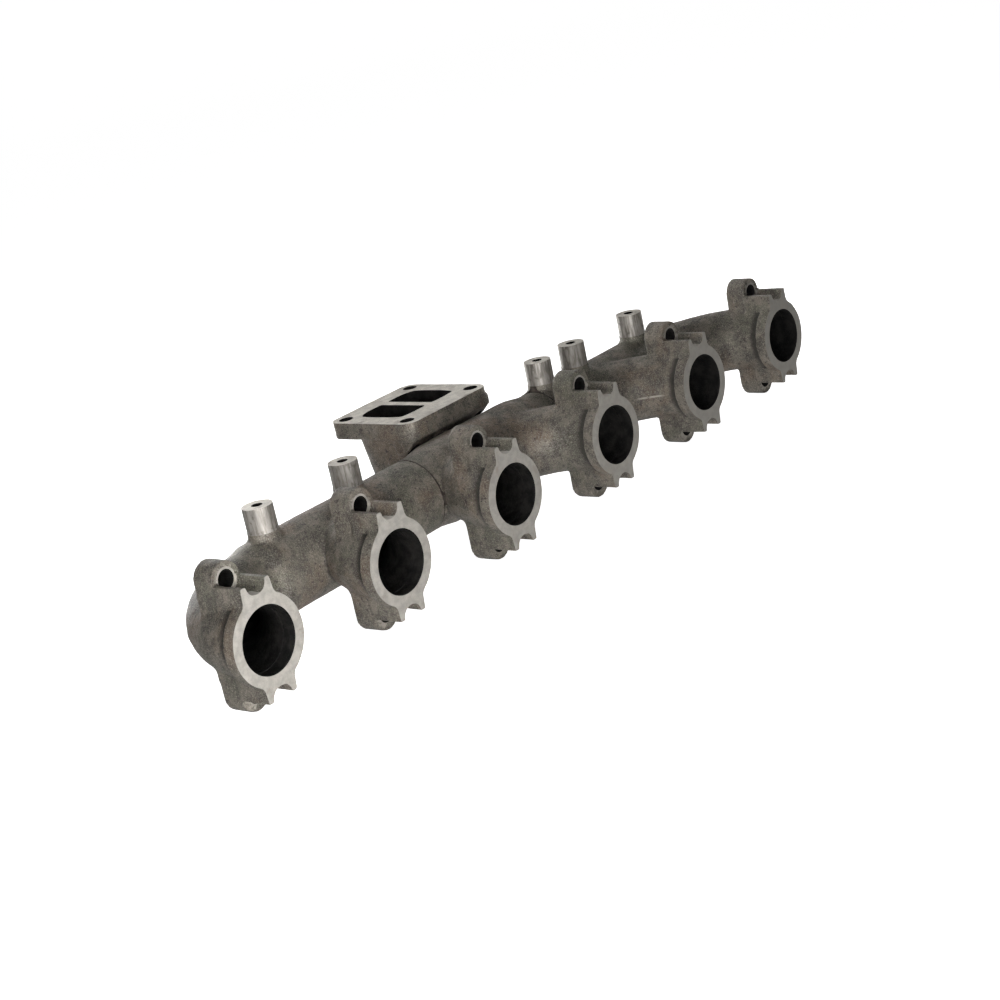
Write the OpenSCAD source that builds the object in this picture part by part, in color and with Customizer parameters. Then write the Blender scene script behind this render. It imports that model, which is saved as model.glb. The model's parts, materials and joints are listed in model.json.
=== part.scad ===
// Exhaust manifold for a six-cylinder in-line engine.
// Three hollow castings meet in two slip joints, which split seal rings close.
// X runs along the engine, Y points away from the cylinder head and Z is up.
// The origin is on the cylinder head face, midway between the two middle ports.

/* [Ports] */
// Distance between neighbouring ports
port_pitch = 165; // [162:1:170]
// Radius of the machined bore in each port face
port_bore_r = 28.5; // [27.5:0.5:29.5]
// Depth of the machined port bore
port_bore_depth = 13; // [11:1:14]
// Outer radius of the machined ring round each port
port_ring_r = 39.5; // [38.5:0.5:41]
// Thickness of the ring that seals on the head
port_ring_t = 12.5; // [10:0.5:14]

/* [Port bolts] */
// Distance from the port centre up and down to its two bolts
bolt_offset = 50.5; // [50:0.5:51.5]
// Radius of the bolt holes
bolt_hole_r = 8; // [7:0.25:8.5]
// Radius of the bolt bosses
boss_r = 16; // [14.5:0.5:16.5]
// Distance from the head face to the seats of the bolt heads
boss_back_y = 56; // [54:1:58]
// Length of each bolt boss, measured back to its seat
boss_length = 23; // [20:1:25]
// Radius of the open trough that clears each bolt in front of its boss
trough_r = 10.5; // [9.5:0.5:11]
// Half width of the horned block at its tips
horn_half_w = 16.5; // [15.5:0.5:17.5]
// Height of the horn tips above and below the port centre
horn_tip_z = 50.5; // [49:0.5:52]

/* [Runners and log] */
// Outer radius of the runners
runner_r = 34; // [33:0.5:35]
// Inner radius of the runners
runner_bore_r = 27.5; // [26:0.5:28]
// Bend radius of the runners
bend_r = 99; // [97:1:101]
// Outer radius of the log
log_r = 37.5; // [36.5:0.5:38.5]
// Inner radius of the log
log_bore_r = 29.5; // [28.5:0.5:30]
// Distance from the head face to the log's axis
log_y = 109; // [108:1:111]
// Outer radius of the log's swollen middle
plenum_r = 41; // [39.5:0.5:42]

/* [Slip joints] */
// Distance from the middle of the manifold to the mouth of each end casting
joint_x = 103; // [102.5:0.5:103.5]
// Gap left for heat expansion
joint_gap = 1.5; // [1:0.25:2]
// Outer radius of the spigots on the middle casting
spigot_r = 30; // [29:0.25:30.5]
// Inner radius of the spigots
spigot_bore_r = 24.5; // [23:0.5:25]
// Length of each spigot
spigot_length = 33; // [31:1:34]
// Radial running clearance between spigot and socket
spigot_clearance = 0.35; // [0.3:0.05:0.5]
// Number of seal rings in each joint
ring_count = 3; // [1:1:3]
// Width of a seal ring
ring_w = 3; // [2:0.5:3.5]
// Radial thickness of a seal ring
ring_t = 2.2; // [1.8:0.1:2.4]
// Width of the split in each seal ring
ring_split = 1.2; // [0.8:0.1:3]

/* [Turbocharger flange] */
// Length of the flange along the engine
flange_l = 126; // [122:1:130]
// Width of the flange across the engine
flange_w = 112; // [108:1:116]
// Radius of the flange's corners
flange_corner_r = 14; // [8:1:15]
// Thickness of the flange
flange_t = 17.5; // [16:0.5:19]
// Distance from the head face to the flange's centre
flange_y = 187; // [186:1:189]
// Height of the flange's machined face
flange_z = 59; // [58:1:61]
// Bolt spacing along the engine
flange_bolt_l = 100; // [98:1:102]
// Bolt spacing across the engine
flange_bolt_w = 82; // [80:1:84]
// Radius of the flange's bolt holes
flange_hole_r = 6.5; // [5.5:0.25:7]
// Thickness of the wall between the two gas inlets
divider_t = 10; // [8:1:12]

/* [Posts] */
// Radius of the heat shield posts on top of the log
post_r = 14; // [13:0.5:15]
// Height of the posts above the log's axis
post_top_z = 66.5; // [62:0.5:70]
// Radius of the tapped hole in each post
post_hole_r = 4.25; // [3.5:0.25:5]
// Depth of the tapped holes
post_hole_depth = 20; // [15:1:22]

/* [Hidden] */
$fn = 96;
eps = 0.05;
cast_iron = [0.42, 0.40, 0.38];
ring_steel = [0.60, 0.60, 0.62];

// The runners leave the head square, then bend toward the middle of the log
runner_stub = log_y - bend_r;
horn_foot_half_w = 21;
boss_front_y = boss_back_y - boss_length;

// The posts' places along the log, in port pitches from the middle
front_posts_x = [-1.79 * port_pitch, -1.11 * port_pitch];
rear_posts_x = [0.71 * port_pitch, 1.07 * port_pitch, 1.73 * port_pitch];

// The log's end tapers into the last runner's bend
log_end_x = 2.5 * port_pitch - bend_r;
nose_length = 30;
nose_r = 30;

// The plenum tapers down to the log before the shoulders
plenum_half_l = 66;
plenum_taper = 22;

shoulder_x = joint_x - joint_gap;
spigot_end_x = shoulder_x + spigot_length;
socket_r = spigot_r + spigot_clearance;
socket_end_x = spigot_end_x + 5;

// Bevel on the spigots' tips and in the sockets' mouths, so that the rings slide in
lead_in = 1.5;

bore_taper_x = 86;
ring_first_x = shoulder_x + 9;
ring_step = 7.5;
ring_side_gap = 0.1;
ring_fit = 0.05;
ring_r = socket_r - ring_fit;
groove_depth = ring_t + 0.4;

// The neck drops from the flange and curves forward into the log
neck_half_l = 57;
neck_corner_r = 34.5;
neck_front_y = 154;
neck_arc_y = 148.5;
neck_arc_z = 43;
neck_arc_r = 79;
neck_wall = 7;
neck_rear_y = neck_arc_y + neck_arc_r;
neck_depth = 180;
inlet_half_l = 41;
inlet_corner_r = 17.5;
inlet_front_y = neck_front_y + 8;
inlet_rear_y = neck_rear_y - 8.5;
inlet_floor_z = 20;

// A web slopes from the neck up to the flange's front edge
web_top_y = 133;
web_low_y = 150;
web_low_z = 26;

// Port numbers count from the front, 1 to 6
function port_x(number) = (number - 3.5) * port_pitch;

// Turns a flat outline, drawn as X and Z, into a slab that runs back from the head face
module slab_back(depth) {
    translate([0, depth, 0])
        rotate([90, 0, 0])
            linear_extrude(depth)
                children();
}

// A round bar that runs back from y = start
module bar_back(x, z, start, length, radius) {
    translate([x, start, z])
        rotate([-90, 0, 0])
            cylinder(h = length, r = radius);
}

// A round or tapered bar along the log's axis, from the middle outward on one side
module bar_along(side, start, end, radius, end_radius) {
    translate([0, log_y, 0])
        rotate([0, side * 90, 0])
            translate([0, 0, start])
                cylinder(h = end - start, r1 = radius, r2 = end_radius);
}

module round_bar_along(side, start, end, radius) {
    bar_along(side, start, end, radius, radius);
}

module rounded_rect(length, width, radius) {
    square([length - 2 * radius, width], center = true);
    square([length, width - 2 * radius], center = true);
    for (x = [-1, 1], y = [-1, 1])
        translate([x * (length / 2 - radius), y * (width / 2 - radius)])
            circle(r = radius);
}

// A runner's round path: straight back from its port, then a quarter bend into the log
module runner_path(number, radius) {
    translate([port_x(number), 0, 0])
        mirror([port_x(number) > 0 ? 1 : 0, 0, 0]) {
            bar_back(0, 0, 0, runner_stub + eps, radius);
            translate([bend_r, runner_stub, 0])
                rotate([0, 0, 90])
                    rotate_extrude(angle = 90)
                        translate([bend_r, 0])
                            circle(r = radius);
        }
}

// The block above or below a port: two horns beside the bolt, then the bolt's boss
module bolt_block(up) {
    slab_back(boss_front_y)
        difference() {
            polygon([[-horn_foot_half_w, 0], [horn_foot_half_w, 0],
                     [horn_half_w, up * horn_tip_z], [-horn_half_w, up * horn_tip_z]]);
            translate([0, up * bolt_offset])
                circle(r = trough_r);
        }
    translate([0, boss_front_y - eps, 0])
        slab_back(boss_length + eps) {
            translate([0, up * bolt_offset])
                circle(r = boss_r);
            polygon([[-horn_half_w, 0], [horn_half_w, 0],
                     [boss_r, up * bolt_offset], [-boss_r, up * bolt_offset]]);
        }
}

module port_flange(number) {
    translate([port_x(number), 0, 0]) {
        bar_back(0, 0, 0, port_ring_t, port_ring_r);
        for (up = [1, -1])
            bolt_block(up);
    }
}

module port_holes(number) {
    bar_back(port_x(number), 0, -1, port_bore_depth + 1, port_bore_r);
    for (up = [1, -1])
        bar_back(port_x(number), up * bolt_offset, -1, boss_back_y + 2, bolt_hole_r);
}

module post(x) {
    translate([x, log_y, 0])
        cylinder(h = post_top_z, r = post_r);
}

module post_hole(x) {
    translate([x, log_y, post_top_z - post_hole_depth])
        cylinder(h = post_hole_depth + 1, r = post_hole_r);
}

// An end casting: two runners, a length of log and the socket of a slip joint
module end_section(side, ports, posts_x) {
    color(cast_iron)
    difference() {
        union() {
            round_bar_along(side, joint_x, log_end_x, log_r);
            bar_along(side, log_end_x, log_end_x + nose_length, log_r, nose_r);
            for (number = ports) {
                runner_path(number, runner_r);
                port_flange(number);
            }
            for (x = posts_x)
                post(x);
        }
        round_bar_along(side, joint_x - 1, log_end_x, log_bore_r);
        round_bar_along(side, joint_x - 1, socket_end_x, socket_r);
        bar_along(side, joint_x - eps, joint_x + lead_in, socket_r + lead_in, socket_r);
        for (number = ports) {
            runner_path(number, runner_bore_r);
            port_holes(number);
        }
        for (x = posts_x)
            post_hole(x);
    }
}

module front_section() {
    end_section(-1, [1, 2], front_posts_x);
}

module rear_section() {
    end_section(1, [5, 6], rear_posts_x);
}

// Turns a side view, drawn as Y and Z, into a slab centred on the middle of the manifold
module slab_across(half_length) {
    translate([-half_length, 0, 0])
        rotate([90, 0, 90])
            linear_extrude(2 * half_length)
                children();
}

// The neck's side view: a quarter round behind, open to the log in front
module neck_side(inset) {
    intersection() {
        translate([neck_arc_y, neck_arc_z])
            circle(r = neck_arc_r - inset);
        translate([neck_front_y + inset, -neck_arc_r])
            square([neck_arc_r, neck_arc_r + neck_arc_z]);
    }
    translate([log_y, inset - log_r + 2])
        square([neck_front_y + inset - log_y + eps, log_r + inlet_floor_z - 2 * inset]);
}

// The neck's outside, or its passage when inset by the wall
module neck(inset, half_length) {
    intersection() {
        slab_across(half_length)
            neck_side(inset);
        translate([0, neck_rear_y - neck_depth / 2, -neck_arc_r])
            linear_extrude(2 * neck_arc_r)
                rounded_rect(2 * (neck_half_l - inset), neck_depth - 2 * inset, neck_corner_r - inset);
    }
}

module neck_web() {
    slab_across(neck_half_l)
        polygon([[web_top_y, flange_z - flange_t + eps], [web_low_y, web_low_z],
                 [neck_front_y + eps, web_low_z], [neck_front_y + eps, flange_z - flange_t + eps]]);
}

module turbo_flange() {
    translate([0, flange_y, flange_z - flange_t])
        linear_extrude(flange_t)
            rounded_rect(flange_l, flange_w, flange_corner_r);
}

// The two front holes pass through the web as well
module turbo_flange_holes() {
    for (x = [-1, 1], y = [-1, 1])
        translate([x * flange_bolt_l / 2, flange_y + y * flange_bolt_w / 2, web_low_z - 2])
            cylinder(h = flange_z - web_low_z + 3, r = flange_hole_r);
}

// The inside of one scroll: its half of the log, its runner and its way up to the flange
module scroll_passage(side) {
    intersection() {
        union() {
            round_bar_along(side, 0, bore_taper_x, log_bore_r);
            runner_path(side < 0 ? 3 : 4, runner_bore_r);
            neck(neck_wall, inlet_half_l);
            translate([0, (inlet_front_y + inlet_rear_y) / 2, inlet_floor_z])
                linear_extrude(flange_z)
                    rounded_rect(2 * inlet_half_l, inlet_rear_y - inlet_front_y, inlet_corner_r);
        }
        mirror([side < 0 ? 1 : 0, 0, 0])
            translate([divider_t / 2, -1, -neck_arc_r])
                cube([port_pitch, 2 * flange_y, 2 * neck_arc_r]);
    }
    bar_along(side, bore_taper_x - eps, shoulder_x, log_bore_r, spigot_bore_r);
    round_bar_along(side, shoulder_x - eps, spigot_end_x + 1, spigot_bore_r);
}

module ring_groove(side, x) {
    difference() {
        round_bar_along(side, x - ring_w / 2 - ring_side_gap, x + ring_w / 2 + ring_side_gap, spigot_r + 1);
        round_bar_along(side, x - ring_w, x + ring_w, ring_r - groove_depth);
    }
}

// A spigot with a bevelled tip
module spigot(side) {
    round_bar_along(side, shoulder_x - eps, spigot_end_x - lead_in, spigot_r);
    bar_along(side, spigot_end_x - lead_in, spigot_end_x, spigot_r, spigot_r - lead_in);
}

// The middle casting: two runners, the turbocharger flange on its neck, and a spigot at each end
module center_section() {
    color(cast_iron)
    difference() {
        union() {
            neck(0, neck_half_l);
            neck_web();
            turbo_flange();
            for (side = [-1, 1]) {
                round_bar_along(side, 0, plenum_half_l, plenum_r);
                bar_along(side, plenum_half_l, plenum_half_l + plenum_taper, plenum_r, log_r);
                round_bar_along(side, plenum_half_l + plenum_taper, shoulder_x, log_r);
                spigot(side);
            }
            for (number = [3, 4]) {
                runner_path(number, runner_r);
                port_flange(number);
            }
        }
        for (side = [-1, 1]) {
            scroll_passage(side);
            for (i = [0 : ring_count - 1])
                ring_groove(side, ring_first_x + i * ring_step);
        }
        for (number = [3, 4])
            port_holes(number);
        turbo_flange_holes();
    }
}

// A split ring that springs outward against its socket
module seal_ring(side, place) {
    color(ring_steel)
    difference() {
        x = ring_first_x + place * ring_step;
        round_bar_along(side, x - ring_w / 2, x + ring_w / 2, ring_r);
        round_bar_along(side, x - ring_w, x + ring_w, ring_r - ring_t);
        translate([side * x, log_y, 0])
            rotate([place * 120, 0, 0])
                translate([-ring_w, -ring_split / 2, 0])
                    cube([2 * ring_w, ring_split, 2 * ring_r]);
    }
}

center_section();
front_section();
rear_section();
seal_ring(-1, 0);  // front_seal_ring_1
seal_ring(-1, 1);  // front_seal_ring_2
seal_ring(-1, 2);  // front_seal_ring_3
seal_ring(1, 0);  // rear_seal_ring_1
seal_ring(1, 1);  // rear_seal_ring_2
seal_ring(1, 2);  // rear_seal_ring_3
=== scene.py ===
"""Exhaust manifold: three sand castings that meet in two slip joints.

Each casting is grown from a distance field, with the round corners and uneven skin of sand-cast iron,
and then machined with sharp cutters where the real one is machined. Lengths in the shape code are in
millimetres, in the CAD's frame, and become metres when a mesh is made.
"""

import json
import math

import bpy
import numpy as np
import openvdb
from mathutils import Matrix, Vector

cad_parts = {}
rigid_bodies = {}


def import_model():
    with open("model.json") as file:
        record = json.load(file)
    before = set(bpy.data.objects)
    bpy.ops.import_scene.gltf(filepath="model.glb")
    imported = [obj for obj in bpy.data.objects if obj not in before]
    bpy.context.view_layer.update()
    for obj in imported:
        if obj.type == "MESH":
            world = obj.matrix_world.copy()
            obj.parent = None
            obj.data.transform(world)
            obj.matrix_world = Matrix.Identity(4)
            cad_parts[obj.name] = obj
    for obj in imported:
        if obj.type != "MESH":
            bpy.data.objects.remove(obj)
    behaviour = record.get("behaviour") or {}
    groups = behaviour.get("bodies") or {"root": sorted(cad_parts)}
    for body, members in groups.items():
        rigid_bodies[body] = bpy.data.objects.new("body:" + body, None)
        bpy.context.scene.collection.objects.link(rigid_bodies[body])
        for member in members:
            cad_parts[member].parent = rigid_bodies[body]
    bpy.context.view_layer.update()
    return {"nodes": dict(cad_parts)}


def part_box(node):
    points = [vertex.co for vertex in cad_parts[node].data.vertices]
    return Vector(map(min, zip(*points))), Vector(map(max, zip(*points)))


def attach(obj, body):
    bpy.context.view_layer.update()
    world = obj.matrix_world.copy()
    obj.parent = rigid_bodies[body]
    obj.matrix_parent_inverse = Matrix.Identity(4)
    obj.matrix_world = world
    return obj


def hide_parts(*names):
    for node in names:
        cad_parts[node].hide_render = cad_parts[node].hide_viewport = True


for leftover in list(bpy.data.objects):
    bpy.data.objects.remove(leftover)
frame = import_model()

MM = 0.001

# ---------------------------------------------------------------- sizes, as in the CAD model
PITCH = 165.0
LOG_Y = 109.0
RUNNER_R, RUNNER_BORE_R, BEND_R, STUB = 34.0, 27.5, 99.0, 10.0
LOG_R, LOG_BORE_R, PLENUM_R = 37.5, 29.5, 41.0
LOG_END, NOSE, NOSE_R = 313.5, 30.0, 30.0
RING_R, RING_T, PORT_BORE_R, PORT_BORE_DEPTH = 39.5, 12.5, 28.5, 13.0
BOLT_Z, BOLT_R, BOSS_R, BOSS_FRONT, BOSS_BACK = 50.5, 8.0, 16.0, 33.0, 56.0
HORN_FOOT, HORN_TIP, HORN_Z, TROUGH_R = 21.0, 16.5, 50.5, 10.5
POST_R, POST_TOP, POST_HOLE_R, POST_HOLE_DEPTH = 14.0, 66.5, 4.25, 20.0
MOUTH, SHOULDER = 103.0, 101.5
SPIGOT_R, SPIGOT_BORE_R, SPIGOT_END, SOCKET_R, SOCKET_END, LEAD = 30.0, 24.5, 134.5, 30.35, 139.5, 1.5
GROOVE_X, GROOVE_STEP, GROOVE_HALF_W, GROOVE_R = 110.5, 7.5, 1.6, 27.7
FLANGE_HALF_L, FLANGE_HALF_W, FLANGE_CORNER, FLANGE_T = 63.0, 56.0, 14.0, 17.5
FLANGE_Y, FLANGE_Z, FLANGE_BOLT_X, FLANGE_BOLT_Y, FLANGE_HOLE_R = 187.0, 59.0, 50.0, 41.0, 6.5
NECK_HALF_L, NECK_CORNER, NECK_FRONT, NECK_WALL = 57.0, 34.5, 154.0, 7.0
NECK_ARC_Y, NECK_ARC_Z, NECK_ARC_R, NECK_MID_Y, NECK_HALF_W = 148.5, 43.0, 79.0, 137.5, 90.0
WEB_TOP_Y, WEB_LOW_Y, WEB_LOW_Z = 133.0, 150.0, 26.0
INLET_HALF_L, INLET_CORNER, INLET_FRONT, INLET_REAR, INLET_FLOOR = 41.0, 17.5, 162.0, 219.0, 20.0
POSTS = {-1: [1.79 * PITCH, 1.11 * PITCH], 1: [0.71 * PITCH, 1.07 * PITCH, 1.73 * PITCH]}
PORTS_OUT = [1.5 * PITCH, 2.5 * PITCH]

# ---------------------------------------------------------------- sizes that only the visual model has
# The web is 57 mm to each side in the CAD, and the neck's ends are straight there.
WEB_HALF_L = 60.0
NECK_TAPER, NECK_TAPER_TOP = 7.0, 38.0
# Stock left on a casting where a cutter will machine it
ALLOW = 3.0
# The mould's parting line
PARTING_Z, PARTING_HEIGHT, PARTING_SPREAD = -2.5, 1.4, 1.4
# Fillets where shapes of one casting meet
RUNNER_JOIN, RING_JOIN, BLOCK_JOIN, POST_JOIN = 1.6, 1.0, 2.6, 4.0
WEB_JOIN, NECK_JOIN, PLATE_JOIN = 6.0, 10.0, 4.0
BORE_JOIN, PASSAGE_JOIN = 5.0, 6.0
# The log swells from PLENUM_END inward, over PLENUM_FADE, and its bore narrows beyond BORE_END
PLENUM_END, PLENUM_FADE, BORE_END = 88.0, 22.0, 86.0
# Half the wall between the scrolls, the top of the neck's low part, and the middle casting's rough end
SCROLL_WALL, PASSAGE_TOP, ROUGH_END = 5.0, 22.0, 126.0
# Grid steps of the distance fields, and the seeds of each casting's uneven skin
SKIN_STEP, MIDDLE_STEP, HOLLOW_STEP = 1.6, 1.7, 2.4
REAR_SEED, FRONT_SEED, MIDDLE_SEED = 11, 23, 37
# Edges that turn by more than this stay sharp
SHARP_ANGLE = math.radians(33)

# Material slots on every casting, in the order of MATERIALS
CAST, MACHINED, SOOT_AND_SHADE, TURNED, FACED, TINTED = range(6)


# ---------------------------------------------------------------- distance fields
def grid_axes(lo, hi, step):
    """Coordinates of a regular grid, shaped so that they broadcast against one another."""
    x, y, z = (a + step * np.arange(int(math.ceil((b - a) / step)) + 1, dtype=np.float32)
               for a, b in zip(lo, hi))
    return x[:, None, None], y[None, :, None], z[None, None, :]


def join(a, b, r):
    """Both solids, with a fillet of radius r where they meet."""
    return np.maximum(r, np.minimum(a, b)) - np.hypot(np.maximum(r - a, 0), np.maximum(r - b, 0))


def meet(a, b, r):
    """What two solids share, with its edge rounded to radius r."""
    return np.minimum(-r, np.maximum(a, b)) + np.hypot(np.maximum(r + a, 0), np.maximum(r + b, 0))


def slab(v, lo, hi):
    """What lies between two planes."""
    return np.maximum(lo - v, v - hi)


def rounded_rect(x, y, half_x, half_y, corner):
    """A rectangle centred on zero, with round corners."""
    dx, dy = np.abs(x) - (half_x - corner), np.abs(y) - (half_y - corner)
    return np.hypot(np.maximum(dx, 0), np.maximum(dy, 0)) + np.minimum(np.maximum(dx, dy), 0) - corner


def runner(u, y, z, radius):
    """A runner's pipe. u is the distance from its port toward the manifold's middle."""
    bend = BEND_R - np.hypot(BEND_R - u, y - STUB)
    off = np.where(y < STUB, u + 0 * y, np.where(u < BEND_R, bend, LOG_Y - y + 0 * u))
    return np.maximum(np.maximum(np.hypot(off, z) - radius, -ALLOW - y), u - 1.3 * BEND_R)


def bolt_block(u, y, z, up):
    """The horned block on one side of a port, with the bolt's boss behind it."""
    zz = up * z
    lean = math.atan2(HORN_FOOT - HORN_TIP, HORN_Z)
    side = (np.abs(u) - HORN_FOOT) * math.cos(lean) + zz * math.sin(lean)
    outline = np.maximum(meet(side, zz - HORN_Z, 0.8), -zz)
    outline = meet(outline, TROUGH_R - np.hypot(u, zz - BOLT_Z), 0.8)
    horns = meet(outline, slab(y, -ALLOW, BOSS_FRONT), 1.0)
    lean = math.atan2(HORN_TIP - BOSS_R, BOLT_Z)
    side = (np.abs(u) - HORN_TIP) * math.cos(lean) + zz * math.sin(lean)
    outline = np.where(zz > BOLT_Z, np.hypot(u, zz - BOLT_Z) - BOSS_R, np.maximum(side, -zz))
    boss = meet(outline, slab(y, BOSS_FRONT - 1.2, BOSS_BACK), 1.6)
    return join(horns, boss, 1.2)


def near(axis, centre, reach):
    """The part of the grid within reach of centre along X."""
    inside = np.nonzero(np.abs(axis[:, 0, 0] - centre) < reach)[0]
    return slice(inside[0], inside[-1] + 1)


def add_port(field, x, y, z, port, toward):
    """Adds a runner with its ring and bolt blocks. toward is +1 or -1, the way its bend goes along X."""
    u = toward * (x - port)
    field = join(field, runner(u, y, z, RUNNER_R), RUNNER_JOIN)
    s = near(x, port, 46)
    u = u[s]
    ring = meet(np.hypot(u, z) - RING_R, slab(y, -ALLOW, RING_T), 0.9)
    local = join(field[s], ring, RING_JOIN)
    for up in (1, -1):
        local = join(local, bolt_block(u, y, z, up), BLOCK_JOIN)
    field[s] = local
    return field


def uneven(shape, step, seed):
    """The slow unevenness of a sand-cast skin, always a little inside the true surface."""
    rng = np.random.default_rng(seed)
    total = np.zeros(shape, np.float32)
    for size, height in ((34.0, 0.30), (13.0, 0.16), (5.5, 0.12)):
        cells = size / step
        value = rng.uniform(-1, 1, [int(n / cells) + 3 for n in shape]).astype(np.float32)
        for axis, n in enumerate(shape):
            t = np.arange(n) / cells
            i = t.astype(int)
            f = (t - i).astype(np.float32)
            f = (f * f * (3 - 2 * f)).reshape([-1 if k == axis else 1 for k in range(3)])
            a = np.take(value, i, axis)
            value = a + (np.take(value, i + 1, axis) - a) * f
        total += height * value
    return total + 0.34


def parting_line(field, x, y, z):
    """The thin raised line where the two halves of the mould met, broken here and there."""
    strength = 0.55 + 0.45 * np.sin(x * 0.043 + 1.3) * np.sin(y * 0.061 + x * 0.017)
    line = PARTING_HEIGHT * np.clip(strength, 0.1, 1) * np.exp(-((z - PARTING_Z) / PARTING_SPREAD) ** 2)
    return field - line * np.clip((y - 15) / 5, 0, 1)


def end_casting_field(x, y, z, posts):
    """The outside of an end casting, as the rear one lies."""
    rho = np.hypot(y - LOG_Y, z)
    radius = LOG_R - (LOG_R - NOSE_R) * np.clip((x - LOG_END) / NOSE, 0, 1)
    field = meet(rho - radius, x - (LOG_END + NOSE), 5.0)
    for port in PORTS_OUT:
        field = add_port(field, x, y, z, port, -1)
    for post in posts:
        s = near(x, post, 28)
        across = np.hypot(x[s] - post, y - LOG_Y)
        stem = np.maximum(across - (POST_R + 0.9), slab(z, 0, POST_TOP + ALLOW))
        field[s] = join(field[s], stem, POST_JOIN)
    return np.maximum(parting_line(field, x, y, z), (MOUTH - ALLOW) - x)


def end_casting_hollow(x, y, z):
    """The log's bore and two runners' bores, as in the rear casting."""
    field = np.maximum(np.hypot(y - LOG_Y, z) - LOG_BORE_R, x - LOG_END) + 0 * x
    for port in PORTS_OUT:
        field = join(field, np.maximum(runner(port - x, y, z, RUNNER_BORE_R), -ALLOW - y), BORE_JOIN)
    return field


def neck_profile(y, z, inset):
    """The neck seen along X: a quarter round back, and a low way forward into the log."""
    quarter = np.hypot(y - NECK_ARC_Y, z - NECK_ARC_Z) - (NECK_ARC_R - inset)
    arc = np.maximum(quarter, NECK_FRONT + inset - y)
    low = slab(z, inset - LOG_R + 2, PASSAGE_TOP - inset)
    low = np.maximum(slab(y, LOG_Y, NECK_FRONT + inset + 0.5), low)
    return np.minimum(arc, low)


def neck_taper(z):
    """How far the neck's ends draw in below the flange."""
    return NECK_TAPER * np.clip((NECK_TAPER_TOP - z) / NECK_TAPER_TOP, 0, 1)


def middle_casting_field(x, y, z):
    """The outside of the middle casting, without its spigots."""
    rho = np.hypot(y - LOG_Y, z)
    radius = LOG_R + (PLENUM_R - LOG_R) * np.clip((PLENUM_END - np.abs(x)) / PLENUM_FADE, 0, 1)
    field = rho - radius + 0 * x
    half_l = NECK_HALF_L - neck_taper(z)
    plan = rounded_rect(x, y - NECK_MID_Y, half_l, NECK_HALF_W, NECK_CORNER)
    neck = np.maximum(meet(neck_profile(y, z, 0.0), plan, 2.0), z - (FLANGE_Z - 5))
    rise = FLANGE_Z - FLANGE_T - WEB_LOW_Z
    run = WEB_LOW_Y - WEB_TOP_Y
    slope = ((WEB_LOW_Y - y) * rise + (WEB_LOW_Z - z) * run) / math.hypot(rise, run)
    web = meet(slope, WEB_LOW_Z - z, 2.0)
    web = np.maximum(web, np.maximum(slab(y, WEB_TOP_Y, NECK_FRONT + 6), z - (FLANGE_Z - 9)))
    neck = join(neck, meet(web, np.abs(x) - WEB_HALF_L, 1.0), WEB_JOIN)
    field = join(field, neck, NECK_JOIN)
    plate = rounded_rect(x, y - FLANGE_Y, FLANGE_HALF_L, FLANGE_HALF_W, FLANGE_CORNER)
    plate = meet(plate, slab(z, FLANGE_Z - FLANGE_T, FLANGE_Z + ALLOW), 1.1)
    field = join(field, plate, PLATE_JOIN)
    for port, toward in ((-PITCH / 2, 1), (PITCH / 2, -1)):
        field = add_port(field, x, y, z, port, toward)
    return np.maximum(parting_line(field, x, y, z), np.abs(x) - ROUGH_END)


def middle_casting_hollow(x, y, z):
    """The two scrolls' passages, with the wall between them."""
    both = None
    half_w, corner = NECK_HALF_W - NECK_WALL, NECK_CORNER - NECK_WALL
    inlet_mid, inlet_half_w = (INLET_FRONT + INLET_REAR) / 2, (INLET_REAR - INLET_FRONT) / 2
    for side in (-1, 1):
        q = side * x
        narrowing = np.clip((SHOULDER - q) / (SHOULDER - BORE_END), 0, 1)
        radius = SPIGOT_BORE_R + (LOG_BORE_R - SPIGOT_BORE_R) * narrowing
        field = np.hypot(y - LOG_Y, z) - radius
        field = join(field, runner(PITCH / 2 - q, y, z, RUNNER_BORE_R), BORE_JOIN)
        half_l = NECK_HALF_L - NECK_WALL - neck_taper(z)
        plan = rounded_rect(q, y - NECK_MID_Y, half_l, half_w, corner)
        plan = np.maximum(plan, np.abs(q) - INLET_HALF_L)
        field = join(field, meet(neck_profile(y, z, NECK_WALL), plan, 4.0), PASSAGE_JOIN)
        inlet = rounded_rect(q, y - inlet_mid, INLET_HALF_L, inlet_half_w, INLET_CORNER)
        inlet = np.maximum(inlet, slab(z, INLET_FLOOR, FLANGE_Z + 6))
        field = join(field, inlet, PASSAGE_JOIN)
        field = meet(field, SCROLL_WALL - q, 3.0)
        both = field if both is None else np.minimum(both, field)
    return both


# ---------------------------------------------------------------- meshes
def make_object(name, points, faces, slot, flip=False):
    """A mesh object from points in millimetres and faces that all have the same number of corners."""
    points = np.asarray(points, float) * MM
    faces = np.asarray(faces, np.int32)
    if flip:
        faces = faces[:, ::-1]
    mesh = bpy.data.meshes.new(name)
    mesh.vertices.add(len(points))
    mesh.vertices.foreach_set("co", points.astype(np.float32).ravel())
    mesh.loops.add(faces.size)
    mesh.loops.foreach_set("vertex_index", faces.ravel())
    mesh.polygons.add(len(faces))
    mesh.polygons.foreach_set("loop_start", np.arange(len(faces), dtype=np.int32) * faces.shape[1])
    for material in MATERIALS:
        mesh.materials.append(material)
    mesh.polygons.foreach_set("material_index", np.full(len(faces), slot, np.int32))
    mesh.update(calc_edges=True)
    piece = bpy.data.objects.new(name, mesh)
    bpy.context.scene.collection.objects.link(piece)
    return piece


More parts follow.
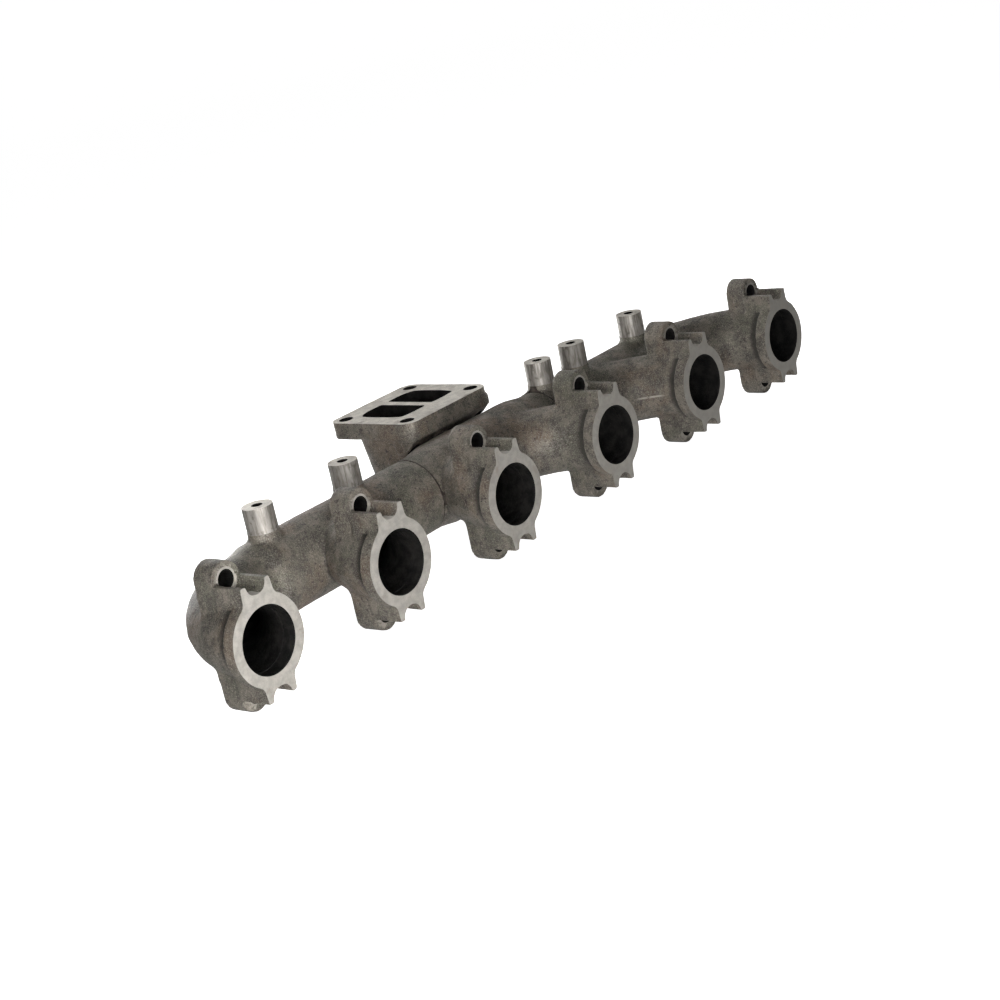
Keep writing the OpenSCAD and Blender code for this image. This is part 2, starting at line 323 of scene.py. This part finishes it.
def skin(name, field, lo, step, slot, side=1):
    """The surface of a distance field. side -1 mirrors it in X."""
    level = openvdb.FloatGrid(background=3 * step)
    level.copyFromArray(np.clip(field, -3 * step, 3 * step).astype(np.float32))
    points, quads = level.convertToQuads(isovalue=0.0)
    points = np.array(points, float) * step + np.array(lo)
    points[:, 0] *= side
    return make_object(name, points, quads, slot, flip=side < 0)


def turned(profile, place, along, segments=96, side=1):
    """A solid of revolution. profile runs (radius, distance along the axis) from the axis back to the axis.
    along is "x", "y" or "z", and place is where distance 0 lies."""
    angle = np.linspace(0, 2 * np.pi, segments, endpoint=False)
    inner = profile[1:-1]
    rings = [np.stack([r * np.cos(angle), r * np.sin(angle), np.full(segments, h)], 1) for r, h in inner]
    points = np.concatenate([[[0, 0, profile[0][1]]], *rings, [[0, 0, profile[-1][1]]]])
    last = len(points) - 1
    i = np.arange(segments)
    j = (i + 1) % segments
    faces = [np.stack([np.zeros_like(i), 1 + j, 1 + i], 1)]
    for k in range(len(inner) - 1):
        a, b = 1 + k * segments, 1 + (k + 1) * segments
        faces += [np.stack([a + i, a + j, b + j], 1), np.stack([a + i, b + j, b + i], 1)]
    a = 1 + (len(inner) - 1) * segments
    faces.append(np.stack([a + i, a + j, np.full_like(i, last)], 1))
    faces = np.concatenate(faces)
    x, y, z = points.T
    points = np.stack({"x": (z, y, -x), "y": (x, z, -y), "z": (x, y, z)}[along], 1)
    points = points + np.array(place)
    if side < 0:
        points[:, 0] *= -1
        faces = faces[:, ::-1]
    return points, faces


def ring_cutter(inner, outer, low, high, place, segments=96):
    """A tube standing on Z, to turn a post."""
    angle = np.linspace(0, 2 * np.pi, segments, endpoint=False)
    corners = ((inner, low), (outer, low), (outer, high), (inner, high))
    points = np.concatenate([np.stack([r * np.cos(angle), r * np.sin(angle), np.full(segments, h)], 1)
                             for r, h in corners])
    i = np.arange(segments)
    j = (i + 1) % segments
    faces = []
    for k in range(4):
        a, b = k * segments, (k + 1) % 4 * segments
        faces += [np.stack([a + i, a + j, b + j], 1), np.stack([a + i, b + j, b + i], 1)]
    return points + np.array(place), np.concatenate(faces)


def block(lo, hi):
    """A box, as a cutter."""
    xs, ys, zs = zip(lo, hi)
    points = np.array([[x, y, z] for x in xs for y in ys for z in zs], float)
    quads = [(0, 1, 3, 2), (4, 6, 7, 5), (0, 4, 5, 1), (2, 3, 7, 6), (0, 2, 6, 4), (1, 5, 7, 3)]
    return points, np.array([t for a, b, c, d in quads for t in ((a, b, c), (a, c, d))])


def tool(name, solids, slot):
    """Several separate closed solids as one cutter."""
    points, faces, count = [], [], 0
    for p, f in solids:
        points.append(p)
        faces.append(f + count)
        count += len(p)
    return make_object(name, np.concatenate(points), np.concatenate(faces), slot)


def combine(piece, other, operation):
    """Applies a boolean to piece and removes the other object."""
    modifier = piece.modifiers.new("cut", "BOOLEAN")
    modifier.operation = operation
    modifier.object = other
    modifier.solver = "MANIFOLD"
    result = bpy.data.meshes.new_from_object(piece.evaluated_get(bpy.context.evaluated_depsgraph_get()))
    piece.modifiers.clear()
    old, name = piece.data, piece.data.name
    piece.data = result
    bpy.data.meshes.remove(old)
    result.name = name
    tool_mesh = other.data
    bpy.data.objects.remove(other)
    bpy.data.meshes.remove(tool_mesh)


# ---------------------------------------------------------------- materials
class Shader:
    """One material's nodes. Lengths are in millimetres on the object, and the bump's height is too."""

    def __init__(self, name, **constants):
        self.material = bpy.data.materials.new(name)
        self.material.use_nodes = True
        self.tree = self.material.node_tree
        self.surface = self.tree.nodes["Principled BSDF"]
        for key, value in constants.items():
            self.surface.inputs[key.replace("_", " ")].default_value = value
        place = self.add("ShaderNodeTexCoord").outputs["Object"]
        scale = self.add("ShaderNodeVectorMath", {0: place}, operation="SCALE")
        scale.inputs["Scale"].default_value = 1 / MM
        self.place = scale.outputs[0]

    def add(self, kind, inputs=None, **settings):
        node = self.tree.nodes.new(kind)
        for key, value in settings.items():
            setattr(node, key, value)
        for key, value in (inputs or {}).items():
            if isinstance(value, bpy.types.NodeSocket):
                self.tree.links.new(value, node.inputs[key])
            else:
                node.inputs[key].default_value = value
        return node

    def math(self, operation, a, b=0.0, c=0.0):
        return self.add("ShaderNodeMath", {0: a, 1: b, 2: c}, operation=operation).outputs[0]

    def stretched(self, x, y, z):
        inputs = {0: self.place, 1: (x, y, z)}
        return self.add("ShaderNodeVectorMath", inputs, operation="MULTIPLY").outputs[0]

    def noise(self, size, detail=3.0, rough=0.55, where=None):
        inputs = {"Vector": where or self.place, "Scale": 1 / size, "Detail": detail, "Roughness": rough}
        return self.add("ShaderNodeTexNoise", inputs).outputs["Fac"]

    def cells(self, size):
        return self.add("ShaderNodeTexVoronoi", {"Vector": self.place, "Scale": 1 / size}).outputs["Distance"]

    def spread(self, value, low, high, to_low=0.0, to_high=1.0):
        node = self.add("ShaderNodeMapRange", {0: value, 1: low, 2: high, 3: to_low, 4: to_high})
        node.interpolation_type = "SMOOTHSTEP"
        return node.outputs[0]

    def colour(self, factor, a, b):
        node = self.add("ShaderNodeMix", data_type="RGBA")
        for index, value in ((0, factor), (6, a), (7, b)):
            if isinstance(value, bpy.types.NodeSocket):
                self.tree.links.new(value, node.inputs[index])
            else:
                node.inputs[index].default_value = (*value, 1.0) if index else value
        return node.outputs[2]

    def edge(self, low, high):
        """From 0 to 1 as the surface turns from low to high. Over 0.5 is a raised edge, under it a crease."""
        return self.spread(self.add("ShaderNodeNewGeometry").outputs["Pointiness"], low, high)

    def finish(self, colour, roughness, height):
        bump = self.add("ShaderNodeBump", {"Height": height, "Distance": MM, "Strength": 1.0})
        self.tree.links.new(bump.outputs[0], self.surface.inputs["Normal"])
        self.tree.links.new(colour, self.surface.inputs["Base Color"])
        self.tree.links.new(roughness, self.surface.inputs["Roughness"])
        return self.material


def cast_iron():
    s = Shader("cast_iron_skin", Metallic=0.45)
    patches = s.noise(62.0, 4.0, 0.62)
    blotches = s.noise(17.0, 5.0, 0.66)
    speckle = s.noise(1.1, 3.0, 0.75)
    base = s.colour(s.spread(blotches, 0.36, 0.66), (0.080, 0.074, 0.063), (0.215, 0.191, 0.158))
    # Rusty and olive patches, bright grains, dark pores, worn edges lit with a painted highlight, and painted
    # shade darkening the creases
    base = s.colour(s.math("MULTIPLY", s.spread(patches, 0.50, 0.66), 0.60), base, (0.178, 0.124, 0.086))
    base = s.colour(s.math("MULTIPLY", s.spread(patches, 0.50, 0.36), 0.55), base, (0.112, 0.114, 0.082))
    base = s.colour(s.spread(speckle, 0.46, 0.72), base, (0.37, 0.335, 0.285))
    base = s.colour(s.spread(s.noise(3.6, 4.0, 0.7), 0.53, 0.70), base, (0.060, 0.053, 0.047))
    # Convex edges lighter: partly wear, partly a painted highlight where edges catch the light
    base = s.colour(s.math("MULTIPLY", s.edge(0.52, 0.60), 0.42), base, (0.46, 0.43, 0.375))
    # Painted shade: concave creases darkened almost to black, where shade falls
    base = s.colour(s.math("MULTIPLY", s.edge(0.492, 0.43), 0.90), base, (0.040, 0.035, 0.030))
    # Painted shade in the recess behind the port rings
    part = s.add("ShaderNodeSeparateXYZ", {0: s.place}).outputs
    painted_ring_shade = s.math("MULTIPLY", s.spread(part["Y"], 25.0, 17.5), s.spread(port_rings(s), 37.5, 36.0))
    base = s.colour(s.math("MULTIPLY", painted_ring_shade, 0.88), base, (0.032, 0.029, 0.025))
    # A painted highlight along the rear casting's parting line, where its ridge catches the light
    parting_glint = s.spread(s.math("ABSOLUTE", s.math("ADD", part["Z"], -PARTING_Z)), 1.5, 0.4)
    parting_glint = s.math("MULTIPLY", parting_glint, s.spread(part["Y"], 20.0, 24.0))
    parting_glint = s.math("MULTIPLY", parting_glint, s.spread(part["X"], MOUTH + 3.0, MOUTH + 9.0))
    parting_glint = s.math("MULTIPLY", parting_glint, s.spread(s.noise(48.0, 3.0, 0.6), 0.46, 0.58))
    base = s.colour(s.math("MULTIPLY", parting_glint, 0.8), base, (0.50, 0.46, 0.40))
    rough = s.spread(s.math("ADD", s.math("MULTIPLY", blotches, 0.4), s.math("MULTIPLY", speckle, 0.6)),
                     0.3, 0.7, 0.68, 0.44)
    sand = s.math("MULTIPLY", s.noise(0.9, 3.0, 0.65), 0.34)
    shot = s.math("MULTIPLY", s.spread(s.cells(1.7), 0.0, 0.55), 0.12)
    lumps = s.math("MULTIPLY", s.noise(5.0, 3.0, 0.55), 0.55)
    pits = s.math("MULTIPLY", s.spread(s.noise(2.6, 1.0, 0.5), 0.62, 0.74), -0.30)
    return s.finish(base, rough, s.math("ADD", s.math("ADD", sand, shot), s.math("ADD", lumps, pits)))


def machined_iron(name, marks, brightness, rear_falloff_shade):
    """Bright milled or faced iron. marks gives the tool marks' coordinate, in millimetres, and the last
    argument is how far painted shade darkens the faces toward the rear, for the lamps' fall-off along the
    row."""
    s = Shader(name, Metallic=0.5)
    line = s.math("SINE", s.math("MULTIPLY", marks(s), 2 * math.pi / 1.1))
    drift = s.noise(7.0, 3.0, 0.6)
    stain = s.noise(18.0, 4.0, 0.65)
    deep, pale = ([c * brightness for c in tone] for tone in ((0.41, 0.386, 0.346), (0.54, 0.513, 0.463)))
    base = s.colour(s.spread(drift, 0.34, 0.68), deep, pale)
    along = s.add("ShaderNodeSeparateXYZ", {0: s.place}).outputs["X"]
    # Painted shade: faces toward +X darker, standing in for the lamps' fall-off along the row of ports
    base = s.colour(s.math("MULTIPLY", s.spread(along, -380.0, 380.0), rear_falloff_shade), base, (0.20, 0.190, 0.172))
    base = s.colour(s.spread(stain, 0.54, 0.76), base, (0.33, 0.295, 0.25))
    base = s.colour(s.spread(s.noise(0.9, 2.0, 0.6), 0.60, 0.72), base, (0.25, 0.23, 0.205))
    rough = s.spread(s.math("ADD", drift, s.math("MULTIPLY", line, 0.08)), 0.3, 0.75, 0.36, 0.52)
    height = s.math("ADD", s.math("MULTIPLY", line, 0.010), s.math("MULTIPLY", s.noise(0.9, 3.0, 0.6), 0.05))
    return s.finish(base, rough, height)


def port_rings(s):
    """Distance from the nearest port's axis, for a facing cutter's marks and the painted shade behind each
    ring.
    """
    part = s.add("ShaderNodeSeparateXYZ", {0: s.place}).outputs
    across = s.math("SUBTRACT", s.math("FLOORED_MODULO", part["X"], PITCH), PITCH / 2)
    square = s.math("ADD", s.math("MULTIPLY", across, across), s.math("MULTIPLY", part["Z"], part["Z"]))
    return s.math("SQRT", square)


def milled_rows(s):
    """Distance along a gently curved sweep, for the marks that a face mill leaves on the flange."""
    part = s.add("ShaderNodeSeparateXYZ", {0: s.place}).outputs
    along = s.math("SUBTRACT", part["Y"], FLANGE_Y)
    return s.math("ADD", part["X"], s.math("MULTIPLY", s.math("MULTIPLY", along, along), 0.006))


# Near-black bores and holes: soot in the exhaust passages, and painted shade down the bolt, stud and flange
# holes
def sooty_and_shaded_bore():
    s = Shader("dark_bore", Metallic=0.0, Specular_IOR_Level=0.12)
    cloud = s.noise(12.0, 4.0, 0.6)
    fleck = s.noise(1.4, 3.0, 0.7)
    base = s.colour(s.spread(cloud, 0.35, 0.7), (0.004, 0.004, 0.004), (0.014, 0.013, 0.012))
    base = s.colour(s.spread(fleck, 0.60, 0.78), base, (0.034, 0.031, 0.027))
    height = s.math("ADD", s.math("MULTIPLY", s.noise(2.2, 3.0, 0.6), 0.5), s.math("MULTIPLY", fleck, 0.2))
    return s.finish(base, s.spread(cloud, 0.3, 0.7, 0.95, 0.78), height)


def tinted_joint():
    """Turned iron that heat and soot have darkened, as inside a slip joint."""
    s = Shader("heat_tinted_iron", Metallic=0.7)
    part = s.add("ShaderNodeSeparateXYZ", {0: s.place}).outputs
    lathe = s.math("SINE", s.math("MULTIPLY", part["X"], 2 * math.pi / 0.8))
    cloud = s.noise(9.0, 4.0, 0.62)
    base = s.colour(s.spread(cloud, 0.34, 0.68), (0.060, 0.050, 0.044), (0.150, 0.128, 0.110))
    base = s.colour(s.spread(s.noise(1.2, 3.0, 0.6), 0.58, 0.74), base, (0.23, 0.20, 0.17))
    height = s.math("ADD", s.math("MULTIPLY", lathe, 0.012), s.math("MULTIPLY", cloud, 0.08))
    return s.finish(base, s.spread(cloud, 0.3, 0.7, 0.40, 0.58), height)


def turned_post():
    s = Shader("post_skin", Metallic=0.6)
    # Vertical light and dark streaks down the turned sides: partly a painted sheen of a turned surface
    streak = s.noise(2.2, 3.0, 0.6, s.stretched(1.0, 1.0, 0.10))
    mottle = s.noise(6.0, 3.0, 0.6)
    base = s.colour(s.spread(streak, 0.34, 0.68), (0.19, 0.175, 0.155), (0.42, 0.395, 0.36))
    base = s.colour(s.spread(mottle, 0.54, 0.76), base, (0.145, 0.130, 0.115))
    # Convex edges lighter: partly wear, partly a painted highlight where edges catch the light
    base = s.colour(s.math("MULTIPLY", s.edge(0.52, 0.60), 0.6), base, (0.55, 0.53, 0.50))
    height = s.math("ADD", s.math("MULTIPLY", streak, 0.12), s.math("MULTIPLY", s.noise(0.8, 2.0, 0.6), 0.09))
    return s.finish(base, s.spread(streak, 0.3, 0.7, 0.58, 0.42), height)


def ring_steel():
    s = Shader("ring_steel", Metallic=1.0)
    part = s.add("ShaderNodeSeparateXYZ", {0: s.place}).outputs
    lathe = s.add("ShaderNodeTexNoise", {"W": part["X"], "Scale": 6.0, "Detail": 2.0}, noise_dimensions="1D")
    haze = s.noise(5.0, 3.0, 0.6)
    base = s.colour(s.spread(haze, 0.35, 0.7), (0.47, 0.46, 0.45), (0.62, 0.61, 0.60))
    base = s.colour(s.spread(s.noise(11.0, 4.0, 0.65), 0.56, 0.75), base, (0.33, 0.27, 0.22))
    height = s.math("ADD", s.math("MULTIPLY", lathe.outputs["Fac"], 0.02), s.math("MULTIPLY", haze, 0.03))
    return s.finish(base, s.spread(haze, 0.3, 0.7, 0.28, 0.44), height)


def pale_floor():
    s = Shader("pale_floor", Metallic=0.0, Emission_Strength=FLOOR_GLOW)
    s.surface.inputs["Emission Color"].default_value = (1.0, 1.0, 1.0, 1.0)
    base = s.colour(s.noise(900.0, 2.0, 0.5), (0.90, 0.90, 0.90), (0.92, 0.92, 0.92))
    rough = s.spread(s.noise(400.0), 0.3, 0.7, 0.72, 0.80)
    return s.finish(base, rough, s.math("MULTIPLY", s.noise(60.0), 0.05))


MATERIALS = [
    cast_iron(),
    machined_iron("machined_port_face", port_rings, 0.95, 0.6),
    sooty_and_shaded_bore(),
    turned_post(),
    # The same machined iron made 1.5 times lighter: painted light on the faces that look up
    machined_iron("machined_flange_face", milled_rows, 1.50, 0.0),
    tinted_joint(),
]


# ---------------------------------------------------------------- the castings
def sided(side, solid):
    """A cutter made for the rear end, mirrored where the front end needs it."""
    points, faces = solid
    if side < 0:
        points = points * np.array([-1, 1, 1])
        faces = faces[:, ::-1]
    return points, faces


def port_cutters(piece, side, ports):
    """Machines the head plane, the bolt seats, the bosses' fronts and the bolt holes. ports are distances
    from the middle.
    """
    far = 40.0
    lo, hi = min(ports) - 60, max(ports) + 60
    plane = sided(side, block((lo, -far, -90), (hi, 0, 90)))
    combine(piece, tool("head_plane", [plane], MACHINED), "DIFFERENCE")
    seats, lower_seats, fronts, bolts = [], [], [], []
    for q in ports:
        for up in (1, -1):
            z = up * BOLT_Z
            profile = [(0, -5), (TROUGH_R, -5), (TROUGH_R, BOSS_FRONT), (0, BOSS_FRONT)]
            trough = turned(profile, (q, 0, z), "y", 64)
            (seats if up > 0 else lower_seats).append(trough)
            low, high = sorted((up * (HORN_Z + 0.6), up * (BOLT_Z + BOSS_R + 6)))
            fronts.append(block((q - 17, 20, low), (q + 17, BOSS_FRONT, high)))
            rim = BOLT_R + 0.6
            profile = [(0, 20), (rim, 20), (rim, BOSS_FRONT), (BOLT_R, BOSS_FRONT + 0.6),
                       (BOLT_R, BOSS_BACK + 6), (0, BOSS_BACK + 6)]
            bolts.append(turned(profile, (q, 0, z), "y", 64))
    for name, solids, slot in (("upper_seats", seats, MACHINED), ("lower_seats", lower_seats, CAST),
                               ("boss_fronts", fronts, CAST), ("bolt_holes", bolts, SOOT_AND_SHADE)):
        combine(piece, tool(name, [sided(side, s) for s in solids], slot), "DIFFERENCE")


def port_bores(piece, side, ports):
    """The machined mouths of the ports, with a small chamfer."""
    r, rim, depth = PORT_BORE_R, PORT_BORE_R + 0.7, PORT_BORE_DEPTH
    profile = [(0, -9), (rim, -9), (rim, 0), (r, 0.7), (r, depth), (0, depth)]
    bores = [turned(profile, (q, 0, 0), "y", 128) for q in ports]
    combine(piece, tool("port_bores", [sided(side, b) for b in bores], SOOT_AND_SHADE), "DIFFERENCE")


def end_casting(name, side):
    """The front casting for side -1, the rear one for +1. It is machined after it is grown."""
    posts = POSTS[side]
    lo, hi = (MOUTH - 6, -6.0, -72.0), (457.0, 150.0, 72.0)
    x, y, z = grid_axes(lo, hi, SKIN_STEP)
    field = end_casting_field(x, y, z, posts)
    field = field + uneven(field.shape, SKIN_STEP, REAR_SEED if side > 0 else FRONT_SEED)
    piece = skin(name, field, lo, SKIN_STEP, CAST, side)
    port_cutters(piece, side, PORTS_OUT)
    turning, tops, holes = [], [], []
    for q in posts:
        turning.append(ring_cutter(POST_R, POST_R + 5, 43.0, POST_TOP + 6, (q, LOG_Y, 0)))
        tops.append(block((q - 22, LOG_Y - 22, POST_TOP), (q + 22, LOG_Y + 22, POST_TOP + 12)))
        rim, low = POST_HOLE_R + 0.9, POST_TOP - POST_HOLE_DEPTH
        holes.append(turned([(0, low), (POST_HOLE_R, low), (POST_HOLE_R, POST_TOP - 0.9), (rim, POST_TOP),
                             (rim, POST_TOP + 9), (0, POST_TOP + 9)], (q, LOG_Y, 0), "z", 48))
    for label, solids, slot in (("post_sides", turning, TURNED), ("post_tops", tops, FACED),
                                ("post_holes", holes, SOOT_AND_SHADE)):
        combine(piece, tool(label, [sided(side, s) for s in solids], slot), "DIFFERENCE")
    mouth = sided(side, block((MOUTH - 30, -20, -90), (MOUTH, 170, 90)))
    combine(piece, tool("mouth", [mouth], TINTED), "DIFFERENCE")
    lo, hi = (MOUTH - 8, -9.0, -36.0), (456.0, 146.0, 36.0)
    x, y, z = grid_axes(lo, hi, HOLLOW_STEP)
    hollow = skin("hollow", end_casting_hollow(x, y, z), lo, HOLLOW_STEP, SOOT_AND_SHADE, side)
    combine(piece, hollow, "DIFFERENCE")
    port_bores(piece, side, PORTS_OUT)
    rim = SOCKET_R + LEAD
    profile = [(0, MOUTH - 9), (rim, MOUTH - 9), (rim, MOUTH), (SOCKET_R, MOUTH + LEAD),
               (SOCKET_R, SOCKET_END), (0, SOCKET_END)]
    socket = turned(profile, (0, LOG_Y, 0), "x", 160)
    combine(piece, tool("socket", [sided(side, socket)], TINTED), "DIFFERENCE")
    return piece


def middle_casting(name):
    """The middle casting, with its flange, spigots and both scrolls."""
    lo, hi = (-131.0, -6.0, -72.0), (131.0, 247.0, 66.0)
    x, y, z = grid_axes(lo, hi, MIDDLE_STEP)
    field = middle_casting_field(x, y, z)
    field = field + uneven(field.shape, MIDDLE_STEP, MIDDLE_SEED)
    piece = skin(name, field, lo, MIDDLE_STEP, CAST)
    ports = [PITCH / 2, -PITCH / 2]
    port_cutters(piece, 1, ports)
    top = block((-80, 110, FLANGE_Z), (80, 260, FLANGE_Z + 15))
    combine(piece, tool("flange_top", [top], FACED), "DIFFERENCE")
    rim = FLANGE_HOLE_R + 0.8
    low = WEB_LOW_Z - 2.0
    holes = [turned([(0, low), (FLANGE_HOLE_R, low), (FLANGE_HOLE_R, FLANGE_Z - 0.8),
                     (rim, FLANGE_Z), (rim, FLANGE_Z + 9), (0, FLANGE_Z + 9)],
                    (sx * FLANGE_BOLT_X, FLANGE_Y + sy * FLANGE_BOLT_Y, 0), "z", 64)
             for sx in (-1, 1) for sy in (-1, 1)]
    combine(piece, tool("flange_holes", holes, SOOT_AND_SHADE), "DIFFERENCE")
    profile = [(0, SHOULDER), (PLENUM_R, SHOULDER), (PLENUM_R, 140), (0, 140)]
    shoulders = [sided(s, turned(profile, (0, LOG_Y, 0), "x", 128)) for s in (-1, 1)]
    combine(piece, tool("shoulders", shoulders, TINTED), "DIFFERENCE")
    combine(piece, tool("spigots", [sided(s, spigot()) for s in (-1, 1)], TINTED), "UNION")
    lo, hi = (-141.0, -9.0, -42.0), (141.0, 232.0, 72.0)
    x, y, z = grid_axes(lo, hi, HOLLOW_STEP)
    hollow = skin("hollow", middle_casting_hollow(x, y, z), lo, HOLLOW_STEP, SOOT_AND_SHADE)
    combine(piece, hollow, "DIFFERENCE")
    port_bores(piece, 1, ports)
    return piece


def spigot():
    """The turned end that slides into an end casting's socket, with its three ring grooves."""
    profile = [(0, 96.0), (SPIGOT_R, 96.0)]
    for k in range(3):
        x = GROOVE_X + k * GROOVE_STEP
        profile += [(SPIGOT_R, x - GROOVE_HALF_W), (GROOVE_R, x - GROOVE_HALF_W),
                    (GROOVE_R, x + GROOVE_HALF_W), (SPIGOT_R, x + GROOVE_HALF_W)]
    profile += [(SPIGOT_R, SPIGOT_END - LEAD), (SPIGOT_R - LEAD, SPIGOT_END), (0, SPIGOT_END)]
    return turned(profile, (0, LOG_Y, 0), "x", 160)


def finish_casting(piece, body, node):
    """Shades a casting and puts it in its CAD node's place."""
    mesh = piece.data
    mesh.polygons.foreach_set("use_smooth", np.ones(len(mesh.polygons), bool))
    mesh.set_sharp_from_angle(angle=SHARP_ANGLE)
    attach(piece, body)
    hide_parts(node)


finish_casting(end_casting("front_casting", -1), "front", "front_section")
finish_casting(middle_casting("center_casting"), "center", "center_section")
finish_casting(end_casting("rear_casting", 1), "rear", "rear_section")

steel = ring_steel()
for node_name, node in frame["nodes"].items():
    if "seal_ring" in node_name:
        node.data.materials.clear()
        node.data.materials.append(steel)

# ---------------------------------------------------------------- floor, light and camera
FLOOR_GLOW = 0.96
bottom = min(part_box(n)[0].z for n in frame["nodes"])


def round_floor():
    """A round floor that curves up into a backdrop all round the part."""
    flat, curve, height, segments = 6.0, 2.5, 7.0, 96
    profile = [(0.6, 0.0), (flat, 0.0)]
    profile += [(flat + curve * math.sin(t), curve * (1 - math.cos(t)))
                for t in np.linspace(0.1, math.pi / 2, 16)]
    profile.append((flat + curve, height))
    turns = [2 * math.pi * k / segments for k in range(segments)]
    points = [(0.0, 0.0, bottom)]
    points += [(r * math.cos(t), r * math.sin(t), bottom + h) for r, h in profile for t in turns]
    faces = [(0, 1 + k, 1 + (k + 1) % segments) for k in range(segments)]
    for row in range(len(profile) - 1):
        a, b = 1 + row * segments, 1 + (row + 1) * segments
        faces += [(a + k, b + k, b + (k + 1) % segments, a + (k + 1) % segments) for k in range(segments)]
    mesh = bpy.data.meshes.new("floor")
    mesh.from_pydata(points, [], faces)
    mesh.polygons.foreach_set("use_smooth", np.ones(len(faces), bool))
    mesh.materials.append(pale_floor())
    ground = bpy.data.objects.new("floor", mesh)
    bpy.context.scene.collection.objects.link(ground)
    return ground


floor = round_floor()
floor.visible_diffuse = False
floor.visible_glossy = False


def soft_light(name, place, target, size, power):
    """A round studio lamp that lights the part without showing in the picture."""
    data = bpy.data.lights.new(name, "AREA")
    data.shape = "DISK"
    data.size = size
    data.energy = power
    lamp = bpy.data.objects.new(name, data)
    lamp.location = place
    lamp.rotation_euler = (Vector(target) - Vector(place)).to_track_quat("-Z", "Y").to_euler()
    lamp.visible_camera = False
    bpy.context.scene.collection.objects.link(lamp)


# name, place, target, size in metres, power in watts
for lamp_settings in (
        ("key", (-0.64, -0.52, -0.02), (-0.40, 0.0, 0.0), 0.20, 4.4),
        ("key_fill", (-0.90, -0.80, 0.30), (-0.30, 0.0, 0.0), 0.30, 3.8),
        ("end_fill", (-1.30, -0.30, 0.40), (-0.35, 0.05, 0.0), 0.40, 6.0),
        ("front", (-0.30, -1.50, 0.30), (-0.10, 0.0, 0.0), 0.80, 3.8),
        ("back", (0.10, 0.90, 0.50), (0.10, 0.10, 0.0), 0.60, 2.0),
        ("far_side", (0.35, 1.50, 0.10), (0.05, 0.10, 0.0), 0.90, 10.0),
        ("far_end", (1.30, 0.30, 0.10), (0.40, 0.10, 0.0), 0.60, 5.0),
        ("rear_top", (0.90, 0.90, 1.10), (0.20, 0.10, 0.0), 0.80, 3.6),
        ("top", (0.0, 0.30, 1.50), (0.0, 0.10, 0.0), 1.20, 2.0),
        ("from_floor", (-0.2, 0.0, bottom + 0.004), (-0.2, 0.0, 1.0), 2.4, 6.0)):
    soft_light(*lamp_settings)

world = bpy.data.worlds.new("studio")
world.use_nodes = True
sky = world.node_tree.nodes["Background"].inputs
sky["Color"].default_value = (1.0, 1.0, 1.0, 1.0)
sky["Strength"].default_value = 0.04
bpy.context.scene.world = world
bpy.context.scene.view_settings.view_transform = "Standard"

# The camera was matched to the photo in units of the port pitch
CAMERA_PLACE = Vector((-8.2586, -6.7643, 3.1899)) * (PITCH * MM)
camera_data = bpy.data.cameras.new("camera")
camera_data.lens = 69.487
camera_data.sensor_width = 36.0
camera_data.clip_end = 60.0
camera = bpy.data.objects.new("camera", camera_data)
right = Vector((0.60288, -0.77248, -0.19950))
up = Vector((0.35611, 0.03678, 0.93372))
back = Vector((-0.71395, -0.63397, 0.29726))
turn = Matrix((right, up, back)).transposed().to_4x4()
camera.matrix_world = Matrix.Translation(CAMERA_PLACE) @ turn
bpy.context.scene.collection.objects.link(camera)
bpy.context.scene.camera = camera
